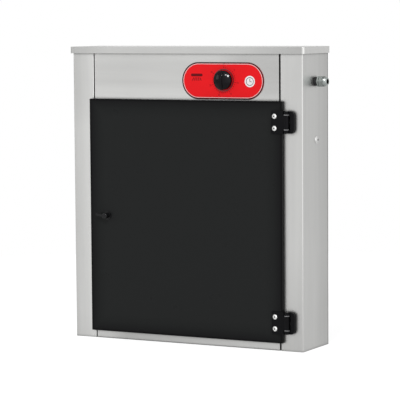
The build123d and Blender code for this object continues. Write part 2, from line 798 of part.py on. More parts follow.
def make_lamp():
    """Ultraviolet tube with its caps, the two holders and the reflector behind."""
    half = lamp_length / 2
    axis = facing_right(0, lamp_y, lamp_z)
    glass_half = half - sheet
    tube = rod(lamp_diameter, -glass_half, glass_half)
    inside = glass_half - lamp_wall
    tube -= rod(lamp_diameter - 2 * lamp_wall, -inside, inside)
    save("lamp_tube", axis * tube)

    cap = rod(lamp_cap, half - lamp_cap_length, half)
    cap -= rod(lamp_diameter, half - lamp_cap_length, glass_half)
    for offset_y in (-lamp_pin_pitch / 2, lamp_pin_pitch / 2):
        cap += Pos(offset_y, 0, 0) * rod(lamp_pin, half, half + lamp_pin_length)
    right_cap = axis * cap
    save("lamp_caps", right_cap, mirrored(right_cap))

    start = half + holder_gap
    height = ceiling_z - lamp_z
    outline = Circle(holder_radius) + Pos(0, height / 2) * Rectangle(2 * holder_radius, height)
    holder = Pos(0, 0, start) * extrude(outline, holder_thickness)
    for offset_y in (-lamp_pin_pitch / 2, lamp_pin_pitch / 2):
        hole = rod(lamp_pin + 2 * lamp_pin_gap, start, start + lamp_pin_length)
        holder -= Pos(offset_y, 0, 0) * hole
    right_holder = axis * holder
    save("lampholder_right", right_holder)
    save("lampholder_left", mirrored(right_holder))

    rear = lamp_y + lamp_diameter / 2 + reflector_stand_off
    low = ceiling_z - reflector_height
    points = [
        (rear - reflector_stand_off - lamp_diameter, ceiling_z),
        (rear, ceiling_z),
        (rear, low + reflector_lean),
        (rear - reflector_lean, low),
    ]
    path = FilletPolyline(points, radius=fold_radius)
    face = make_face(offset(path, amount=reflector_sheet, side=Side.RIGHT, closed=True))
    trough = Plane.YZ.offset(-reflector_half_length) * extrude(face, 2 * reflector_half_length)
    for x, y in ceiling_screw_places()[:2]:
        trough -= Pos(x, y, 0) * rod(m4, ceiling_z - reflector_sheet, ceiling_z)
    save("lamp_reflector", trough)


def grommet_places():
    """Holes in the ceiling over the two lampholders and behind the switch."""
    return [(-holder_x, lamp_y), (holder_x, lamp_y), (interlock_x, switch_grommet_y)]


def ceiling_screw_places():
    """Screws of the ballast's two feet and of the earth wire."""
    foot = (ballast_length - ballast_foot) / 2
    return [
        (ballast_x - foot, ballast_y),
        (ballast_x + foot, ballast_y),
        (terminal_x, earth_screw_y),
    ]


def make_control_gear():
    """Ballast, starter and terminal block, which stand on the ceiling of the chamber."""
    on_ceiling = Pos(ballast_x, ballast_y, ceiling_top)
    ground = (Align.CENTER, Align.CENTER, Align.MIN)
    core = Box(ballast_length - 2 * ballast_foot, ballast_width, ballast_height, align=ground)
    plate = Box(ballast_length, ballast_width - 6, ballast_foot_thickness, align=ground)
    ballast = core + plate
    ballast = on_ceiling * ballast
    screws = []
    grips = (ballast_foot_thickness, ballast_foot_thickness, earth_lug_thickness)
    for (x, y), grip in zip(ceiling_screw_places(), grips):
        place = Pos(x, y, ceiling_top)
        ballast -= place * rod(m4, 0, grip)
        screws.append(place * Pos(0, 0, grip) * m4_screw(grip + 3 * sheet))
    save("ballast", ballast)
    save("ceiling_screws", *screws)

    starter_place = Pos(starter_x, starter_y, ceiling_top)
    base = Box(starter_base_width, starter_base_width, starter_base_height, align=ground)
    well = starter_base_height / 2
    base -= rod(starter_diameter + 2 * lamp_pin_gap, well, starter_base_height)
    save("starter_socket", starter_place * base)
    can = rod(starter_diameter, well, well + starter_height)
    can = fillet(can.faces().sort_by(Axis.Z)[-1].edges(), 2)
    save("starter", starter_place * can)

    strip = Box(terminal_length, terminal_width, terminal_height, align=ground)
    end = terminal_length / 2
    lip = block(-end, end, -terminal_width / 2, -terminal_width / 4,
                terminal_height * 0.6, terminal_height)
    strip -= lip + mirror(lip, about=Plane.XZ)
    for n in range(terminal_ways):
        x = (n - (terminal_ways - 1) / 2) * terminal_pitch
        strip -= Pos(x, 0, 0) * rod(terminal_hole, terminal_height / 2, terminal_height)
    save("terminal_block", Pos(terminal_x, terminal_y, ceiling_top) * strip)


def make_interlock():
    """Microswitch on a hanging bracket, worked by a plunger that the door presses."""
    plate_y = front + opening_return + switch_plate_gap
    half = switch_plate_width / 2
    x0 = interlock_x - half
    x1 = interlock_x + half
    low = interlock_z - half
    foot_z = ceiling_z - sheet
    plate = block(x0, x1, plate_y, plate_y + sheet, low, ceiling_z)
    plate += block(x0, x1, plate_y, plate_y + switch_plate_foot, foot_z, ceiling_z)
    axis = facing_front(interlock_x, plate_y, interlock_z)
    plate -= axis * rod(interlock_bush, -sheet, 0)
    save("switch_bracket", plate)

    bush = rod(interlock_bush, -sheet, interlock_bush_length)
    bore = plunger_diameter + 2 * running_clearance
    bush -= rod(bore, -sheet, interlock_bush_length)
    save("interlock_bush", axis * bush)

    tip = plate_y - door_back - plunger_gap
    plunger = rod(plunger_diameter, -sheet + interlock_travel, tip)
    plunger = fillet(plunger.faces().sort_by(Axis.Z)[-1].edges(), plunger_diameter * 0.3)
    save("interlock_plunger", axis * plunger)

    behind = plate_y + sheet
    top = foot_z - sheet_gap
    body = block(interlock_x - switch_width / 2, interlock_x + switch_width / 2,
                 behind, behind + switch_depth, top - switch_height, top)
    body = fillet(body.edges().filter_by(Axis.X), 1)
    body += axis * rod(switch_button, -sheet, 0)
    save("microswitch", body)


def make_gland():
    """Cable gland of plated brass: body, rubber collar, dome nut, rubber seal and locknut."""
    axis = facing_right(side, gland_y, gland_z)
    flange_end = gland_collar_length + gland_hex_thickness
    thread_end = flange_end + gland_thread_out
    body = hexagon(gland_hex, gland_collar_length, flange_end)
    body += rod(gland_thread, -gland_thread_in, thread_end)
    body -= rod(gland_seal, -gland_thread_in, thread_end)
    save("gland_body", axis * body)
    collar = rod(gland_collar, 0, gland_collar_length) - rod(gland_thread, 0, gland_collar_length)
    save("gland_collar", axis * collar)

    start = flange_end + gland_nut_start
    shoulder = start + gland_nut_hex_length
    end = start + gland_nut_length
    nose = [
        (0, shoulder),
        (gland_hex / 2 - 0.3, shoulder),
        (gland_hex / 2 - 0.8, shoulder + 3),
        (gland_nose / 2 + 1.5, end - 2),
        (gland_nose / 2, end),
        (0, end),
    ]
    dome = hexagon(gland_hex, start, shoulder) + turned(nose)
    seal_end = gland_seal_inset + gland_seal_length
    cavity = [
        (0, start),
        (gland_thread / 2, start),
        (gland_thread / 2, thread_end),
        (gland_seal / 2, seal_end),
        (gland_nut_mouth / 2, seal_end),
        (gland_nut_mouth / 2, end),
        (0, end),
    ]
    save("gland_dome_nut", axis * (dome - turned(cavity)))
    sleeve = rod(gland_seal, gland_seal_inset, seal_end) - rod(cable_bore, gland_seal_inset, seal_end)
    save("gland_seal", axis * sleeve)
    inside = facing_left(side - sheet, gland_y, gland_z)
    save("gland_locknut", inside * nut(locknut_hex, locknut_thickness, gland_thread))


def wire_along(*points):
    """Round wire through points, with arcs as large as its runs allow."""
    corners = [Vector(*point) for point in points]
    runs = [end - start for start, end in zip(corners, corners[1:])]
    radii = []
    for before, after in zip(runs, runs[1:]):
        half_turn = radians(before.get_angle(after)) / 2
        shorter = min(before.length, after.length)
        radii.append(wire_arc_share * shorter / tan(half_turn))
    path = FilletPolyline(*corners, radius=radii)
    section = Plane(origin=path @ 0, z_dir=path % 0) * Circle(wire / 2)
    solid = sweep(section, path=path)
    filled = solid.volume / (pi * wire ** 2 / 4 * path.length)
    print(f"wire {path.length:.0f} mm long, least radius {min(radii):.1f} mm, filled {filled:.4f}")
    return solid


def make_wires():
    """Wiring over the ceiling, and the grommets and earth lug that it needs."""
    neck = rod(grommet_neck, ceiling_z, ceiling_top)
    flange = rod(grommet_flange, ceiling_top, ceiling_top + grommet_flange_thickness)
    grommet = neck + flange
    grommet -= rod(grommet_bore, ceiling_z, ceiling_top + grommet_flange_thickness)
    save("wire_grommets", *[Pos(x, y, 0) * grommet for x, y in grommet_places()])

    low = ceiling_top + wire_height
    step = wire_spacing / 2
    (left_x, lamp_wire_y), (right_x, _), (switch_x, switch_y) = grommet_places()
    block_face = terminal_y - terminal_width / 2
    tab_end = front + sheet + timer_depth + timer_tab_length
    tab_left = timer_x - timer_size / 4
    tab_right = timer_x + timer_size / 4
    switch_back = front + opening_return + switch_plate_gap + sheet + switch_depth
    switch_high = interlock_z + 3
    switch_low = interlock_z - 5
    first_way = terminal_x - 2 * terminal_pitch
    last_way = terminal_x + 2 * terminal_pitch
    ballast_front = ballast_y - ballast_width / 2
    ballast_left = ballast_x - ballast_length / 2 + ballast_foot
    starter_front = starter_y - starter_base_width / 2
    starter_right = starter_x + starter_base_width / 2

    high = low + 28

    save("live_wires", wire_along(
        (first_way, block_face, low),
        (first_way, 0, low),
        ((first_way + tab_right) / 2, 6, high - 6),
        (tab_right, 7, timer_z),
        (tab_right, tab_end, timer_z),
    ), wire_along(
        (tab_left, tab_end, timer_z),
        (tab_left, 6, timer_z),
        (tab_left - 35, -2, high + 6),
        (starter_x - 22, -14, high),
        (ballast_x + 37, -17, high + 3),
        (switch_x + 28, -14, high - 3),
        (switch_x + step, switch_y, high - 16),
        (switch_x + step, switch_y, switch_high),
        (switch_x + step, switch_back, switch_high),
    ), wire_along(
        (switch_x - step, switch_back, switch_low),
        (switch_x - step, switch_y, switch_low),
        (switch_x - step, switch_y, low + 8),
        (switch_x - step, ballast_front, low + 8),
    ), wire_along(
        (ballast_left, ballast_y, low + 8),
        (ballast_left - 22, ballast_y, low + 8),
        (left_x + 19, 26, low + 20),
        (left_x + step, lamp_wire_y, low + 16),
        (left_x + step, lamp_wire_y, ceiling_z),
    ))

    save("lamp_wires", wire_along(
        (left_x - step, lamp_wire_y, ceiling_z),
        (left_x - step, lamp_wire_y, low + 16),
        (left_x + 18, 6, low + 22),
        (ballast_left, -7, low + 18),
        (ballast_x - 9, -8, low + 15),
        (ballast_x + 45, -10, low + 9),
        (starter_x - 28, -9, low + 2),
        (starter_x, -2, low),
        (starter_x, starter_front, low),
    ), wire_along(
        (starter_right, starter_y, low),
        (starter_right + 26, starter_y, low),
        (starter_right + 74, 43, low + 11),
        (terminal_x - 40, 47, low + 13),
        (terminal_x + 10, 45, low + 20),
        (right_x - step, lamp_wire_y, low + 16),
        (right_x - step, lamp_wire_y, ceiling_z),
    ), wire_along(
        (right_x + step, lamp_wire_y, ceiling_z),
        (right_x + step, lamp_wire_y, low + 11),
        (right_x + step, 8, low + 14),
        (last_way + 10, -7, low + 8),
        (last_way, -3, low),
        (last_way, block_face, low),
    ))

    lug_top = ceiling_top + earth_lug_thickness
    lug = rod(earth_lug, ceiling_top, lug_top)
    tongue = earth_lug / 2 + wire
    lug += block(-wire / 2, wire / 2, 0, tongue, ceiling_top, lug_top)
    barrel = block(-wire / 2, wire / 2, tongue, tongue + 2 * wire, ceiling_top, ceiling_top + wire)
    lug += barrel
    lug -= rod(m4, ceiling_top, lug_top)
    lug_end = earth_screw_y + tongue + 2 * wire
    save("earth_wire", Pos(terminal_x, earth_screw_y, 0) * lug, wire_along(
        (terminal_x, lug_end, ceiling_top + wire / 2),
        (terminal_x, -9, ceiling_top + wire / 2),
        (terminal_x, 3, low),
        (terminal_x, block_face, low),
    ))


make_side_panels()
make_back_panel()
make_floor_and_ceiling()
make_fascia()
make_lid()
make_door()
make_hinges()
make_latch()
make_label_and_timer()
make_rack()
make_lamp()
make_control_gear()
make_interlock()
make_gland()
make_wires()
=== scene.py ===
from math import cos, pi, radians, sin

import bpy
from mathutils import Matrix, Vector


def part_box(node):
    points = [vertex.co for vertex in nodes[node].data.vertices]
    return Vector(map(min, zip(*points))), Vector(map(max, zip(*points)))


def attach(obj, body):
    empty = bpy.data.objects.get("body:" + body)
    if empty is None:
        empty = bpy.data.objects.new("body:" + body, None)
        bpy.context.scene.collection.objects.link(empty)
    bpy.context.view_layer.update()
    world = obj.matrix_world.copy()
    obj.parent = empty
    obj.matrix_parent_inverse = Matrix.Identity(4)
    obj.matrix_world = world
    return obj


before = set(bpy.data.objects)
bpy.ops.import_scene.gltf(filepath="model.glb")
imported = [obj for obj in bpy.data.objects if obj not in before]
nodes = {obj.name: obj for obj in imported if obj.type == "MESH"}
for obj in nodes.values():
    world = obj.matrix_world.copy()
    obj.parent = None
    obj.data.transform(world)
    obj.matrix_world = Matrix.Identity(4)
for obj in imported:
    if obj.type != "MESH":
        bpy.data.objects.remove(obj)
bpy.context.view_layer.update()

bpy.ops.object.select_all(action="DESELECT")

# Places, in metres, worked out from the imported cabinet
label_low, label_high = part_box("control_label")
label_front = label_low.y
label_centre = Vector(((label_low.x + label_high.x) / 2, label_front, (label_low.z + label_high.z) / 2))
label_length = label_high.x - label_low.x
label_height = label_high.z - label_low.z
knob_low, knob_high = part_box("timer_knob")
dial = Vector(((knob_low.x + knob_high.x) / 2, label_front, (knob_low.z + knob_high.z) / 2))
door_low, door_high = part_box("door_panel")
lamp_low, lamp_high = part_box("lamp_tube")
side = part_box("right_side_panel")[1].x
stile_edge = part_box("left_side_panel")[1].x

# Print on the control label, lengths in metres
ink_thickness = 0.00006
rim_width = 0.0024
line_inset = 0.0030
line_width = 0.0008
timer_minutes = 30
timer_sweep = radians(300)
tick_radius = 0.0242
tick_width = 0.0009
tick_length = 0.0018
long_tick_length = 0.0032
number_radius = 0.0312
number_size = 0.0050
mark_offset = 0.058           # from the label's centre to the middle of each mark
lamp_mark_length = 0.026
lamp_mark_height = 0.0056
lamp_mark_rise = 0.0113       # above the label's centre
ray_rise = 0.0032
ray_width = 0.0016
ray_length = 0.0068
ray_spacing = 0.0042
ray_spread = radians(14)
clock_mark_size = 0.0225
clock_shift = (0.002, -0.0008)
clock_line = 0.0011

# Painted shade along the door's edges, as far as it fades out
door_edge_shade = 0.036

# Camera: where it stood, how it was turned, and its focal length in pixels of the picture
camera_place = (1.9958, -3.7908, 0.6664)
camera_yaw = radians(27.7553)
camera_pitch = radians(-5.0555)
camera_roll = radians(0.4038)
focal_pixels = 2109.6
picture_pixels = 400.0
sensor_width = 36.0

# Studio; directions have length 1, and mirrored tones are those that metal shows
floor_radius = 1.6
floor_drop = 0.0004
floor_glow_seen = 0.72
floor_glow_mirrored = 0.45
ambient = 0.60
bright_side = (0.80, -0.55, 0.24)
paper_side = (-0.47, 0.88, 0.0)
mirrored_dark = 0.46
mirrored_paper = 2.2
mirrored_light = 1.20
mirrored_glare = 1.35
glare_start = 0.55
paper_start = 0.86
paper_stop = 0.97

# Colours, linear
steel = (0.60, 0.60, 0.59)
label_red = (0.82, 0.009, 0.0135)
ink_dark_red = (0.14, 0.003, 0.006)
ink_white = (0.86, 0.84, 0.84)
ink_black = (0.02, 0.018, 0.02)


# Node helpers for materials

def start_material(name):
    """New material with its tree and its shader."""
    material = bpy.data.materials.new(name)
    material.use_nodes = True
    tree = material.node_tree
    return material, tree, tree.nodes["Principled BSDF"]


def set_finish(shader, colour, roughness, metallic=0.0, specular=0.5):
    shader.inputs["Base Color"].default_value = (*colour, 1.0)
    shader.inputs["Roughness"].default_value = roughness
    shader.inputs["Metallic"].default_value = metallic
    shader.inputs["Specular IOR Level"].default_value = specular


def noise(tree, scale, detail=4.0, stretch=(1.0, 1.0, 1.0)):
    """Noise in the piece's own coordinates, in cycles per metre along each axis."""
    place = tree.nodes.new("ShaderNodeTexCoord")
    mapping = tree.nodes.new("ShaderNodeMapping")
    mapping.inputs["Scale"].default_value = stretch
    texture = tree.nodes.new("ShaderNodeTexNoise")
    texture.inputs["Scale"].default_value = scale
    texture.inputs["Detail"].default_value = detail
    tree.links.new(place.outputs["Object"], mapping.inputs["Vector"])
    tree.links.new(mapping.outputs["Vector"], texture.inputs["Vector"])
    return texture.outputs["Fac"]


def spread(tree, value, low, high, start=0.3, stop=0.7):
    """Value between start and stop stretched to the range from low to high."""
    ranger = tree.nodes.new("ShaderNodeMapRange")
    ranger.inputs["From Min"].default_value = start
    ranger.inputs["From Max"].default_value = stop
    ranger.inputs["To Min"].default_value = low
    ranger.inputs["To Max"].default_value = high
    tree.links.new(value, ranger.inputs["Value"])
    return ranger.outputs["Result"]


def blend_colours(tree, factor, first, second):
    """Colour that goes from first to second with the factor."""
    mixer = tree.nodes.new("ShaderNodeMix")
    mixer.data_type = "RGBA"
    mixer.inputs["A"].default_value = (*first, 1.0)
    mixer.inputs["B"].default_value = (*second, 1.0)
    tree.links.new(factor, mixer.inputs["Factor"])
    return mixer.outputs["Result"]


def roughen(tree, shader, height, strength, distance):
    """Bump of the surface from a height, distance in metres."""
    bump = tree.nodes.new("ShaderNodeBump")
    bump.inputs["Strength"].default_value = strength
    bump.inputs["Distance"].default_value = distance
    tree.links.new(height, bump.inputs["Height"])
    tree.links.new(bump.outputs["Normal"], shader.inputs["Normal"])


def dimmed(colour, share):
    return tuple(channel * share for channel in colour)


def scaled(tree, colour, share):
    """Colour times a share that varies over the piece."""
    product = tree.nodes.new("ShaderNodeVectorMath")
    product.operation = "SCALE"
    tree.links.new(colour, product.inputs[0])
    tree.links.new(share, product.inputs["Scale"])
    return product.outputs["Vector"]


def times(tree, first, second):
    product = tree.nodes.new("ShaderNodeMath")
    product.operation = "MULTIPLY"
    tree.links.new(first, product.inputs[0])
    tree.links.new(second, product.inputs[1])
    return product.outputs["Value"]


def along(tree, axis, start, stop, low, high):
    """Value that goes from low to high between two places along an axis."""
    place = tree.nodes.new("ShaderNodeTexCoord")
    parts = tree.nodes.new("ShaderNodeSeparateXYZ")
    tree.links.new(place.outputs["Object"], parts.inputs["Vector"])
    return spread(tree, parts.outputs[axis], low, high, start, stop)


def crevice(tree, reach, darkest, start=0.2, stop=0.8):
    """Painted shade: the share of light that is left in gaps and corners, put into the colour."""
    hollow_shade = tree.nodes.new("ShaderNodeAmbientOcclusion")
    hollow_shade.samples = 6
    hollow_shade.inputs["Distance"].default_value = reach
    return spread(tree, hollow_shade.outputs["AO"], darkest, 1.0, start, stop)


# Materials of the cabinet

def brushed_steel(name, grain_axis, colour=steel, roughness=0.36, painted_shades=()):
    """Fine brushed stainless sheet, its grain along one axis, with faint wiping marks, painted shade in
    its gaps and corners, and painted light and shade along its axes.

    A painted shade is an axis, the places where it starts and stops, and its shares of light there.
    """
    material, tree, shader = start_material(name)
    set_finish(shader, colour, roughness, metallic=1.0)
    fine = [2600.0, 2600.0, 2600.0]
    fine["XYZ".index(grain_axis)] = 45.0
    broad = [70.0, 70.0, 70.0]
    broad["XYZ".index(grain_axis)] = 3.0
    grain = noise(tree, 1.0, 3.0, fine)
    bands = noise(tree, 1.0, 3.0, broad)
    wiped = noise(tree, 9.0, 3.0)
    tint = blend_colours(tree, spread(tree, bands, 0.0, 1.0), dimmed(colour, 0.97), dimmed(colour, 1.03))
    # Painted shade in seams and corners, times the painted light and shade along the axes, goes into the
    # colour
    light = crevice(tree, 0.008, 0.04)
    for shade in painted_shades:
        light = times(tree, light, along(tree, *shade))
    tree.links.new(scaled(tree, tint, light), shader.inputs["Base Color"])
    both = tree.nodes.new("ShaderNodeMath")
    both.operation = "ADD"
    tree.links.new(spread(tree, grain, -0.05, 0.05), both.inputs[0])
    tree.links.new(spread(tree, wiped, roughness - 0.03, roughness + 0.04), both.inputs[1])
    tree.links.new(both.outputs["Value"], shader.inputs["Roughness"])
    roughen(tree, shader, grain, 0.18, 0.00002)
    return material


def plain_metal(name, colour, roughness, scratch=400.0, hollow_shade=(0.003, 0.05)):
    """Bright or turned metal with fine marks, with painted shade in its hollows."""
    material, tree, shader = start_material(name)
    set_finish(shader, colour, roughness, metallic=1.0)
    marks = noise(tree, scratch, 4.0)
    tree.links.new(spread(tree, marks, roughness * 0.8, roughness * 1.3), shader.inputs["Roughness"])
    tint = blend_colours(tree, spread(tree, marks, 0.0, 1.0), dimmed(colour, 0.93), colour)
    # Painted shade in the hollows, such as screw sockets, goes into the colour
    tree.links.new(scaled(tree, tint, crevice(tree, *hollow_shade)), shader.inputs["Base Color"])
    roughen(tree, shader, marks, 0.1, 0.00002)
    return material


def moulded_plastic(name, colour, roughness, specular=0.5, texture=0.15):
    """Moulded plastic with a faint spark-eroded texture."""
    material, tree, shader = start_material(name)
    set_finish(shader, colour, roughness, specular=specular)
    pores = noise(tree, 2400.0, 3.0)
    patches = noise(tree, 60.0, 2.0)
    tint = blend_colours(tree, spread(tree, patches, 0.0, 1.0), dimmed(colour, 0.85), dimmed(colour, 1.1))
    tree.links.new(tint, shader.inputs["Base Color"])
    tree.links.new(spread(tree, pores, roughness * 0.9, roughness * 1.15), shader.inputs["Roughness"])
    roughen(tree, shader, pores, texture, 0.00003)
    return material


def smoked_acrylic():
    """Dark acrylic sheet, with painted shade that darkens it towards its edges, most at the rim where the
    seal lies behind it.
    """
    material, tree, shader = start_material("smoked_acrylic")
    set_finish(shader, (0.0145, 0.0155, 0.0155), 0.3, specular=0.08)
    place = tree.nodes.new("ShaderNodeTexCoord")
    parts = tree.nodes.new("ShaderNodeSeparateXYZ")
    tree.links.new(place.outputs["Object"], parts.inputs["Vector"])
    edges = []
    # Painted shade grows from the middle of the door towards its edges
    for axis, low, high in (("X", door_low.x, door_high.x), ("Z", door_low.z, door_high.z)):
        away = tree.nodes.new("ShaderNodeMath")
        away.operation = "SUBTRACT"
        away.inputs[1].default_value = (low + high) / 2
        tree.links.new(parts.outputs[axis], away.inputs[0])
        size = tree.nodes.new("ShaderNodeMath")
        size.operation = "ABSOLUTE"
        tree.links.new(away.outputs["Value"], size.inputs[0])
        half = (high - low) / 2
        edges.append(spread(tree, size.outputs["Value"], 0.0, 1.0, half - door_edge_shade, half))
    edge_shade = tree.nodes.new("ShaderNodeMath")
    edge_shade.operation = "MAXIMUM"
    tree.links.new(edges[0], edge_shade.inputs[0])
    tree.links.new(edges[1], edge_shade.inputs[1])
    tint = tree.nodes.new("ShaderNodeValToRGB")
    ramp = tint.color_ramp
    for share in (0.45, 0.85, 0.93):
        ramp.elements.new(share)
    tones = ((0.0152, 0.0162, 0.0162), (0.0128, 0.0138, 0.0138), (0.0080, 0.0082, 0.0087),
             (0.0035, 0.0035, 0.0040), (0.0025, 0.0025, 0.0030))
    for element, tone in zip(ramp.elements, tones):
        element.color = (*tone, 1.0)
    tree.links.new(edge_shade.outputs["Value"], tint.inputs["Fac"])
    tree.links.new(tint.outputs["Color"], shader.inputs["Base Color"])
    haze = noise(tree, 14.0, 4.0)
    tree.links.new(spread(tree, haze, 0.26, 0.36), shader.inputs["Roughness"])
    ripple = noise(tree, 6.0, 1.0)
    roughen(tree, shader, ripple, 0.15, 0.0003)
    return material


def printed_film(name, colour, roughness=0.42, specular=0.12):
    """Printed film of the control label, with a fine satin texture."""
    material, tree, shader = start_material(name)
    set_finish(shader, colour, roughness, specular=specular)
    satin = noise(tree, 3000.0, 2.0)
    patches = noise(tree, 40.0, 2.0)
    tint = blend_colours(tree, spread(tree, patches, 0.0, 1.0), dimmed(colour, 0.96), colour)
    tree.links.new(tint, shader.inputs["Base Color"])
    roughen(tree, shader, satin, 0.12, 0.00002)
    return material


def rubber(name, colour):
    """Dusty black rubber."""
    material, tree, shader = start_material(name)
    set_finish(shader, colour, 0.6, specular=0.3)
    dust = noise(tree, 300.0, 4.0)
    tint = blend_colours(tree, spread(tree, dust, 0.0, 1.0), colour, dimmed(colour, 1.5))
    tree.links.new(tint, shader.inputs["Base Color"])
    roughen(tree, shader, noise(tree, 1500.0, 3.0), 0.2, 0.00004)
    return material


def clear_quartz():
    """Glass of the lamp, slightly milky from within."""
    material, tree, shader = start_material("clear_quartz")
    set_finish(shader, (0.93, 0.96, 0.98), 0.03)
    shader.inputs["Transmission Weight"].default_value = 0.9
    shader.inputs["IOR"].default_value = 1.46
    haze = noise(tree, 50.0, 2.0)
    tree.links.new(spread(tree, haze, 0.02, 0.06), shader.inputs["Roughness"])
    return material


def dress(material, *names):
    """Give the material to every face of these CAD nodes."""
    for name in names:
        for slot in nodes[name].material_slots:
            slot.material = material


def dress_cabinet():
    # Painted light and shade on the sheets: shares of light along each panel's axes stand for how the
    # studio light falls on them; the sill's steel is painted a little lighter, and the lid's end face
    # much lighter
    stile_painted_light_across = ("X", -side, stile_edge, 0.85, 1.09)
    stile_painted_light_middle = ("Z", 0.43, 0.53, 1.12, 1.0)
    stile_painted_shade_foot = ("Z", 0.0, 0.06, 0.95, 1.0)
    side_painted_shade_depth = ("Y", -0.02, 0.06, 1.02, 0.86)
    side_painted_shade_foot = ("Z", 0.0, 0.20, 0.91, 1.0)
    dress(brushed_steel("steel_left_panel", "Z", painted_shades=[stile_painted_light_across, stile_painted_light_middle, stile_painted_shade_foot]),
          "left_side_panel")
    dress(brushed_steel("steel_right_panel", "Z", painted_shades=[side_painted_shade_depth, side_painted_shade_foot]), "right_side_panel")
    dress(brushed_steel("steel_back_panel", "Z"), "back_panel")
    fascia_painted_shade_right = ("X", 0.07, 0.13, 1.0, 0.88)
    fascia_painted_light_low = ("Z", 0.495, 0.53, 1.16, 1.0)
    dress(brushed_steel("steel_fascia", "X", painted_shades=[fascia_painted_shade_right, fascia_painted_light_low]), "control_fascia")
    sill_painted_shade_across = ("X", -0.13, 0.13, 0.82, 1.0)
    sill_painted_light_left = ("X", -0.18, -0.14, 1.22, 1.0)
    dress(brushed_steel("steel_sill", "X", dimmed(steel, 1.03), painted_shades=[sill_painted_shade_across, sill_painted_light_left]),
          "bottom_panel")
    lid_painted_shade_left = ("X", -side, -side + 0.09, 0.80, 0.98)
    lid_painted_shade_right = ("X", 0.12, side, 1.0, 0.84)
    lid_painted_light_end = ("X", side + 0.001, side + 0.004, 1.0, 1.38)
    dress(brushed_steel("steel_lid", "X", painted_shades=[lid_painted_shade_left, lid_painted_shade_right, lid_painted_light_end]), "top_lid")
    dress(brushed_steel("steel_inside", "X", dimmed(steel, 0.92), 0.42),
          "chamber_ceiling", "knife_rack", "switch_bracket")
    dress(brushed_steel("steel_bracket", "Z", dimmed(steel, 0.92), 0.42),
          "rack_bracket_left", "rack_bracket_right")
    dress(smoked_acrylic(), "door_panel")
    dress(rubber("seal_rubber", (0.012, 0.012, 0.013)),
          "door_seal", "wire_grommets", "gland_seal", "gland_collar")
    dress(moulded_plastic("hinge_plastic", (0.0045, 0.0045, 0.0055), 0.36, 0.08),
          "hinge_door_leaf_lower", "hinge_door_leaf_upper",
          "hinge_frame_leaf_lower", "hinge_frame_leaf_upper")
    dress(moulded_plastic("latch_plastic", (0.007, 0.007, 0.008), 0.24, 0.26),
          "latch_lever", "latch_bush", "latch_bush_nut")
    dress(moulded_plastic("knob_plastic", (0.0015, 0.0012, 0.002), 0.13, 0.15, 0.02), "timer_knob")
    # The last figures of these metals give the painted shade in the screws' sockets
    dress(plain_metal("bright_screw", (0.86, 0.86, 0.85), 0.16, 900.0, (0.003, 0.02, 0.45, 0.95)),
          "hinge_door_screws", "hinge_door_nuts", "hinge_pad_screws", "rack_nuts",
          "latch_cam_screw", "ceiling_screws", "lid_screws")
    dress(plain_metal("side_screw", (0.70, 0.70, 0.69), 0.14, 900.0, (0.004, 0.02, 0.4, 0.95)),
          "rack_screws")
    dress(plain_metal("dial_ring_metal", (0.20, 0.055, 0.06), 0.3), "timer_dial_ring")
    dress(plain_metal("rivet_steel", (0.5, 0.5, 0.5), 0.42), "back_rivets")
    dress(plain_metal("turned_steel", (0.62, 0.62, 0.61), 0.28),
          "hinge_pins", "latch_spindle", "timer_shaft", "interlock_plunger", "latch_cam")
    dress(moulded_plastic("washer_nylon", (0.42, 0.42, 0.43), 0.4), "hinge_washers")
    # The last figures give the painted shade at the root of the gland and in its hollows
    dress(plain_metal("plated_brass", (0.36, 0.39, 0.38), 0.24, 250.0, (0.008, 0.02, 0.35, 0.98)),
          "gland_body", "gland_dome_nut", "gland_locknut", "timer_nut", "interlock_bush")
    dress(printed_film("label_film", label_red), "control_label")
    dress(moulded_plastic("timer_case", (0.05, 0.05, 0.055), 0.5), "timer_body")
    dress(clear_quartz(), "lamp_tube")
    dress(plain_metal("lamp_cap_aluminium", (0.75, 0.75, 0.75), 0.3), "lamp_caps")
    dress(plain_metal("reflector_aluminium", (0.88, 0.88, 0.89), 0.12, 40.0), "lamp_reflector")
    dress(moulded_plastic("white_plastic", (0.72, 0.72, 0.69), 0.4),
          "lampholder_left", "lampholder_right", "starter_socket", "starter", "terminal_block")
    dress(moulded_plastic("ballast_varnish", (0.03, 0.03, 0.032), 0.35), "ballast")
    dress(moulded_plastic("switch_plastic", (0.02, 0.02, 0.02), 0.4), "microswitch")
    dress(moulded_plastic("brown_insulation", (0.12, 0.04, 0.015), 0.35), "live_wires")
    dress(moulded_plastic("blue_insulation", (0.02, 0.08, 0.42), 0.35), "lamp_wires")
    dress(moulded_plastic("green_insulation", (0.08, 0.36, 0.05), 0.35), "earth_wire")


# Tools for modelling new pieces

def finish_piece(name, material, body):
    """Name the active object, give it its material and let it ride on its body."""
    piece = bpy.context.object
    piece.name = name
    piece.data.name = name
    piece.data.materials.clear()
    piece.data.materials.append(material)
    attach(piece, body)
    piece.select_set(False)
    return piece


def apply_place():
    bpy.ops.object.transform_apply(location=True, rotation=True, scale=True)


def thicken(thickness):
    """Give the active flat piece its thickness, half of it on each side."""
    bpy.ops.object.modifier_add(type="SOLIDIFY")
    solidify = bpy.context.object.modifiers[-1]
    solidify.thickness = thickness
    solidify.offset = 0.0
    bpy.ops.object.modifier_apply(modifier=solidify.name)


def flat_plate(x, z, width, height, front):
    """Flat rectangle that faces the viewer, as the active object."""
    bpy.ops.mesh.primitive_plane_add(size=1.0, location=(x, front, z), rotation=(pi / 2, 0, 0))
    bpy.context.object.scale = (width, height, 1.0)
    apply_place()


def round_corners(radius, segments=24):
    """Round the corners of the active flat piece."""
    bpy.ops.object.mode_set(mode="EDIT")
    bpy.ops.mesh.select_all(action="SELECT")
    bpy.ops.mesh.bevel(offset=radius, segments=segments, affect="VERTICES")
    bpy.ops.object.mode_set(mode="OBJECT")


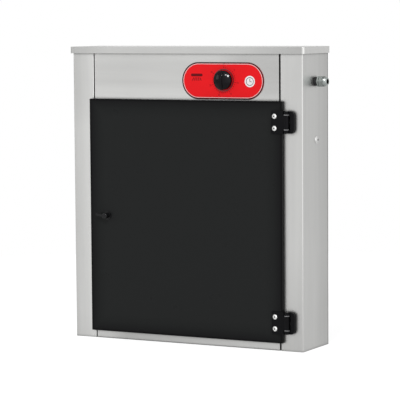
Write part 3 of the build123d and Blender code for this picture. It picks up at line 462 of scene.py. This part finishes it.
def keep_rim(width):
    """Turn the active flat piece into a ring of that width."""
    bpy.ops.object.mode_set(mode="EDIT")
    bpy.ops.mesh.select_all(action="SELECT")
    bpy.ops.mesh.remove_doubles(threshold=0.00001)
    bpy.ops.mesh.inset(thickness=width)
    bpy.ops.mesh.delete(type="FACE")
    bpy.ops.object.mode_set(mode="OBJECT")


def print_obround(name, inset, width, material):
    """Printed line that follows the label's edge."""
    flat_plate(label_centre.x, label_centre.z, label_length - 2 * inset, label_height - 2 * inset,
               label_front)
    round_corners(label_height / 2 - inset - 0.00001)
    keep_rim(width)
    thicken(ink_thickness)
    finish_piece(name, material, "cabinet")


def join_pieces(pieces):
    """Join pieces to one, as the active object."""
    for piece in pieces:
        piece.select_set(True)
    bpy.context.view_layer.objects.active = pieces[0]
    bpy.ops.object.join()


def printed_bar(x, z, width, height, angle=0.0):
    """Flat bar on the label, turned clockwise by the angle."""
    bpy.ops.mesh.primitive_plane_add(size=1.0, location=(x, label_front, z), rotation=(pi / 2, angle, 0))
    bar = bpy.context.object
    bar.scale = (width, height, 1.0)
    apply_place()
    bar.select_set(False)
    return bar


def printed_disc(x, z, size):
    bpy.ops.mesh.primitive_circle_add(
        vertices=64, radius=size / 2, fill_type="NGON", location=(x, label_front, z),
        rotation=(pi / 2, 0, 0))
    apply_place()
    disc = bpy.context.object
    disc.select_set(False)
    return disc


def ink(name, pieces, material, layer=1):
    """Join flat pieces to one print of the label; higher layers lie over lower ones."""
    join_pieces(pieces)
    thicken(ink_thickness * layer)
    finish_piece(name, material, "cabinet")


def print_dial(material):
    """Minute ticks and numbers round the knob, from nought at the top."""
    ticks = []
    for minute in range(timer_minutes + 1):
        angle = timer_sweep * minute / timer_minutes
        length = long_tick_length if minute % 5 == 0 else tick_length
        radius = tick_radius + length / 2
        ticks.append(printed_bar(
            dial.x + radius * sin(angle), dial.z + radius * cos(angle), tick_width, length, angle))
    ink("dial_ticks", ticks, material)
    numbers = []
    for minute in range(0, timer_minutes + 1, 5):
        angle = timer_sweep * minute / timer_minutes
        place = (dial.x + number_radius * sin(angle), label_front, dial.z + number_radius * cos(angle))
        bpy.ops.object.text_add(location=place, rotation=(pi / 2, 0, 0))
        number = bpy.context.object
        number.data.body = str(minute)
        number.data.size = number_size
        number.data.align_x = "CENTER"
        number.data.align_y = "CENTER"
        bpy.ops.object.convert(target="MESH")
        apply_place()
        number.select_set(False)
        numbers.append(number)
    ink("dial_numbers", numbers, material)


def print_lamp_mark(material):
    """Lamp over its rays, left of the knob."""
    x = label_centre.x - mark_offset
    flat_plate(x, label_centre.z + lamp_mark_rise, lamp_mark_length, lamp_mark_height, label_front)
    round_corners(lamp_mark_height / 2 - 0.0001, 12)
    tube = bpy.context.object
    tube.select_set(False)
    rays = [tube]
    for n in range(-2, 3):
        rays.append(printed_bar(
            x + n * ray_spacing, label_centre.z + ray_rise, ray_width, ray_length,
            pi - n * ray_spread))
    ink("lamp_mark", rays, material)


def print_clock_mark(white, dark):
    """White disc with a plain clock face, right of the knob."""
    x = label_centre.x + mark_offset + clock_shift[0]
    z = label_centre.z + clock_shift[1]
    ink("clock_disc", [printed_disc(x, z, clock_mark_size)], white)
    dial_size = clock_mark_size * 0.74
    flat_plate(x, z, dial_size, dial_size, label_front)
    round_corners(dial_size / 2 - 0.00001)
    keep_rim(clock_line)
    face = bpy.context.object
    face.select_set(False)
    minute_hand = printed_bar(x, z + 0.0026, clock_line, 0.0058)
    hour_hand = printed_bar(x + 0.0019, z - 0.0004, clock_line, 0.0046, radians(100))
    ink("clock_mark", [face, minute_hand, hour_hand], dark, layer=2)


def print_label():
    """Outline, dial and plain marks on the red label."""
    black = printed_film("ink_black", ink_black)
    white = printed_film("ink_white", ink_white)
    dark_red = printed_film("ink_dark_red", ink_dark_red)
    print_obround("label_rim", 0.0, rim_width, black)
    print_obround("label_line", line_inset, line_width, white)
    print_dial(dark_red)
    print_lamp_mark(dark_red)
    print_clock_mark(white, black)


# Inside the lamp

def cylinder_between(start, end, size):
    """Rod between two places, with its ends bevelled."""
    start = Vector(start)
    end = Vector(end)
    run = end - start
    turn = run.to_track_quat("Z", "Y").to_euler()
    bpy.ops.mesh.primitive_cylinder_add(
        vertices=16, radius=size / 2, depth=run.length, location=(start + end) / 2, rotation=turn)
    bpy.ops.object.modifier_add(type="BEVEL")
    bevel = bpy.context.object.modifiers[-1]
    bevel.width = size * 0.2
    bevel.segments = 2
    bpy.ops.object.modifier_apply(modifier=bevel.name)
    apply_place()
    rod = bpy.context.object
    rod.select_set(False)
    return rod


def coil(place, length, size, wire, turns):
    """Coil of wire that stands upright on a place."""
    bpy.ops.mesh.primitive_circle_add(
        vertices=8, radius=wire / 2, location=(size / 2, 0.0, 0.0), rotation=(pi / 2, 0, 0))
    apply_place()
    bpy.ops.object.modifier_add(type="SCREW")
    helix = bpy.context.object.modifiers[-1]
    helix.screw_offset = length / turns
    helix.iterations = turns
    helix.steps = 12
    helix.render_steps = 12
    bpy.ops.object.modifier_apply(modifier=helix.name)
    bpy.ops.object.mode_set(mode="EDIT")
    bpy.ops.mesh.select_all(action="SELECT")
    bpy.ops.mesh.remove_doubles(threshold=0.000001)
    bpy.ops.mesh.fill_holes(sides=8)
    bpy.ops.mesh.normals_make_consistent(inside=False)
    bpy.ops.object.mode_set(mode="OBJECT")
    spring = bpy.context.object
    spring.location = place
    apply_place()
    spring.select_set(False)
    return spring


def lamp_filaments():
    """Filament and its two wires at each end of the tube."""
    middle = (lamp_low + lamp_high) / 2
    reach = 0.030
    coil_length = 0.009
    coil_size = 0.0016
    coil_wire = 0.0003
    coil_turns = 10
    lead_wire = 0.0007
    pieces = []
    for end, inward in ((lamp_low.x, 1), (lamp_high.x, -1)):
        x = end + inward * reach
        foot = (x, middle.y, middle.z - coil_length / 2)
        pieces.append(coil(foot, coil_length, coil_size, coil_wire, coil_turns))
        for z in (middle.z - coil_length / 2, middle.z + coil_length / 2):
            start = (end + inward * 0.002, middle.y, middle.z + (z - middle.z) * 0.7)
            pieces.append(cylinder_between(start, (x, middle.y, z), lead_wire))
    join_pieces(pieces)
    bpy.ops.object.shade_smooth_by_angle(angle=radians(40))
    finish_piece("lamp_filaments", plain_metal("tungsten", (0.30, 0.29, 0.28), 0.35), "cabinet")


# Camera, floor and light

def set_camera():
    """Camera where the photograph was taken from."""
    bpy.ops.object.camera_add(location=camera_place)
    camera = bpy.context.object
    yaw = Matrix.Rotation(camera_yaw, 3, "Z")
    pitch = Matrix.Rotation(camera_pitch, 3, "X")
    roll = Matrix.Rotation(camera_roll, 3, "Y")
    stand = Matrix.Rotation(pi / 2, 3, "X")
    camera.rotation_euler = (yaw @ pitch @ roll @ stand).to_euler()
    camera.data.sensor_width = sensor_width
    camera.data.lens = sensor_width * focal_pixels / picture_pixels
    camera.data.clip_end = 60.0
    bpy.context.scene.camera = camera


def paper_floor():
    """White floor that keeps the cabinet's soft shadow."""
    bpy.ops.mesh.primitive_circle_add(
        vertices=96, radius=floor_radius, fill_type="NGON", location=(0.0, 0.0, -floor_drop))
    floor = bpy.context.object
    floor.name = "floor"
    material = bpy.data.materials.new("white_paper")
    material.use_nodes = True
    tree = material.node_tree
    tree.nodes.clear()
    matt = tree.nodes.new("ShaderNodeBsdfDiffuse")
    matt.inputs["Color"].default_value = (0.5, 0.5, 0.5, 1.0)
    glow = tree.nodes.new("ShaderNodeEmission")
    path = tree.nodes.new("ShaderNodeLightPath")
    level = spread(tree, path.outputs["Is Camera Ray"], floor_glow_mirrored, floor_glow_seen, 0.0, 1.0)
    tree.links.new(level, glow.inputs["Strength"])
    both = tree.nodes.new("ShaderNodeAddShader")
    tree.links.new(matt.outputs["BSDF"], both.inputs[0])
    tree.links.new(glow.outputs["Emission"], both.inputs[1])
    output = tree.nodes.new("ShaderNodeOutputMaterial")
    tree.links.new(both.outputs["Shader"], output.inputs["Surface"])
    floor.data.materials.append(material)
    floor.select_set(False)


def lit(tree, strength):
    """White background at a strength, a number or a socket."""
    background = tree.nodes.new("ShaderNodeBackground")
    background.inputs["Color"].default_value = (1.0, 1.0, 1.0, 1.0)
    if isinstance(strength, float):
        background.inputs["Strength"].default_value = strength
    else:
        tree.links.new(strength, background.inputs["Strength"])
    return background.outputs["Background"]


def choose_shader(tree, factor, otherwise, chosen):
    mixer = tree.nodes.new("ShaderNodeMixShader")
    tree.links.new(factor, mixer.inputs["Fac"])
    tree.links.new(otherwise, mixer.inputs[1])
    tree.links.new(chosen, mixer.inputs[2])
    return mixer.outputs["Shader"]


def studio_world():
    """White where it is seen, brighter to the right of the camera where metal mirrors it."""
    world = bpy.data.worlds.new("studio")
    bpy.context.scene.world = world
    world.use_nodes = True
    tree = world.node_tree
    tree.nodes.clear()
    direction = tree.nodes.new("ShaderNodeTexCoord")
    facing = tree.nodes.new("ShaderNodeVectorMath")
    facing.operation = "DOT_PRODUCT"
    facing.inputs[1].default_value = bright_side
    tree.links.new(direction.outputs["Generated"], facing.inputs[0])
    slope = spread(tree, facing.outputs["Value"], mirrored_dark, mirrored_light, -1.0, 1.0)
    glare = spread(tree, facing.outputs["Value"], 1.0, mirrored_glare, glare_start, 1.0)
    behind = tree.nodes.new("ShaderNodeVectorMath")
    behind.operation = "DOT_PRODUCT"
    behind.inputs[1].default_value = paper_side
    tree.links.new(direction.outputs["Generated"], behind.inputs[0])
    paper = spread(tree, behind.outputs["Value"], 1.0, mirrored_paper, paper_start, paper_stop)
    mirrored = times(tree, times(tree, slope, glare), paper)
    path = tree.nodes.new("ShaderNodeLightPath")
    shown = choose_shader(tree, path.outputs["Is Glossy Ray"], lit(tree, ambient), lit(tree, mirrored))
    clear = tree.nodes.new("ShaderNodeMath")
    clear.operation = "MAXIMUM"
    tree.links.new(path.outputs["Is Camera Ray"], clear.inputs[0])
    tree.links.new(path.outputs["Is Transmission Ray"], clear.inputs[1])
    shown = choose_shader(tree, clear.outputs["Value"], shown, lit(tree, 1.0))
    output = tree.nodes.new("ShaderNodeOutputWorld")
    tree.links.new(shown, output.inputs["Surface"])


def softbox(name, place, aim, width, height, power):
    """Studio lamp that points at a place."""
    bpy.ops.object.light_add(type="AREA", location=place)
    lamp = bpy.context.object
    lamp.name = name
    lamp.data.shape = "RECTANGLE"
    lamp.data.size = width
    lamp.data.size_y = height
    lamp.data.energy = power
    lamp.rotation_euler = (Vector(aim) - Vector(place)).to_track_quat("-Z", "Y").to_euler()
    lamp.select_set(False)
    return lamp


def light_studio():
    studio_world()
    middle = (0.0, 0.0, 0.3)
    softbox("key_softbox", (0.8, -2.8, 2.9), middle, width=0.5, height=0.5, power=45.0)
    softbox("fill_softbox", (-2.6, -1.8, 1.4), middle, width=1.4, height=1.4, power=12.0)
    glint = softbox("knob_softbox", (1.9, -2.7, 2.5), dial, width=0.6, height=0.9, power=170.0)
    glint.light_linking.receiver_collection = bpy.data.collections.new("lit_by_knob_softbox")
    glint.light_linking.receiver_collection.objects.link(nodes["timer_knob"])
    bpy.context.scene.view_settings.view_transform = "Standard"


dress_cabinet()
print_label()
lamp_filaments()
set_camera()
paper_floor()
light_studio()
